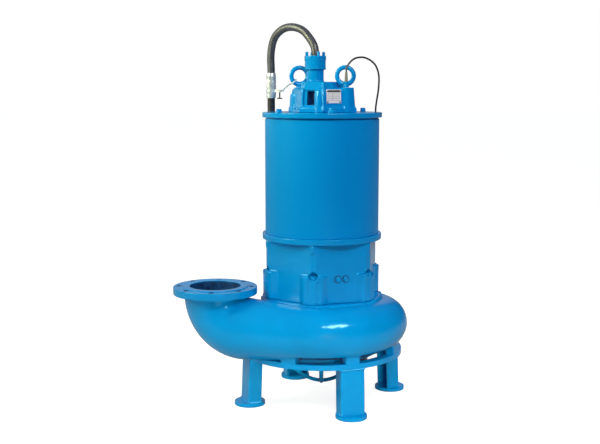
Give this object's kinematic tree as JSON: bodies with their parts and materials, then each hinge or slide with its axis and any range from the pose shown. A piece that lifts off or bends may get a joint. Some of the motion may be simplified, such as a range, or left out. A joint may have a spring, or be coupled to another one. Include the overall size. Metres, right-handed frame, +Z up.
{
  "type": "submersible pump",
  "caption": "Submersible slurry and sewage pump: upright motor drum on a volute casing with an upturned flanged outlet, on a ring base with channel legs.",
  "frame": {"origin": "on the floor, under the middle of the pump's box without its cables", "axes": "+Z up along the shaft, -X the way the discharge nozzle runs before it turns up"},
  "size_m": [0.8806, 1.219, 1.5484],
  "materials": {
    "blue_enamel": "glossy blue enamel on cast iron and steel",
    "cast_iron": "bare dark casting",
    "bare_plate": "bare brushed plate",
    "boot_rubber": "matte grey rubber",
    "zinc_plate": "bright zinc plate",
    "cable_rubber": "matte black-grey cable sheath"
  },
  "bodies": {
    "root": {"volute_casing": "blue_enamel", "base_ring": "blue_enamel", "leg_1": "blue_enamel", "leg_2": "blue_enamel", "leg_3": "blue_enamel", "leg_4": "blue_enamel", "foot_pad_1": "blue_enamel", "foot_pad_2": "blue_enamel", "foot_pad_3": "blue_enamel", "foot_pad_4": "blue_enamel", "suction_cover": "blue_enamel", "suction_guard": "blue_enamel", "impeller": "cast_iron", "lower_housing": "blue_enamel", "column_bolt_1": "blue_enamel", "column_bolt_2": "blue_enamel", "column_bolt_3": "blue_enamel", "column_bolt_4": "blue_enamel", "column_bolt_5": "blue_enamel", "column_bolt_6": "blue_enamel", "oil_plug_1": "blue_enamel", "oil_plug_2": "blue_enamel", "jacket_ring": "blue_enamel", "motor_jacket": "blue_enamel", "top_flange": "blue_enamel", "flange_bolt_1": "blue_enamel", "flange_bolt_2": "blue_enamel", "flange_bolt_3": "blue_enamel", "flange_plug": "blue_enamel", "head_cover": "blue_enamel", "cable_boss": "blue_enamel", "cable_gland": "blue_enamel", "gland_bolt_1": "blue_enamel", "gland_bolt_2": "blue_enamel", "gland_bolt_3": "blue_enamel", "gland_bolt_4": "blue_enamel", "eyebolt_left": "blue_enamel", "eyebolt_right": "blue_enamel", "nameplate": "bare_plate", "sensor_gland": "blue_enamel", "sensor_boot": "boot_rubber", "cable_grip": "zinc_plate", "grip_screw": "zinc_plate", "grip_rod": "zinc_plate", "power_cable": "cable_rubber", "power_cable_coil": "cable_rubber", "sensor_cable": "cable_rubber", "sensor_cable_coil": "cable_rubber"}
  },
  "joints": []
}
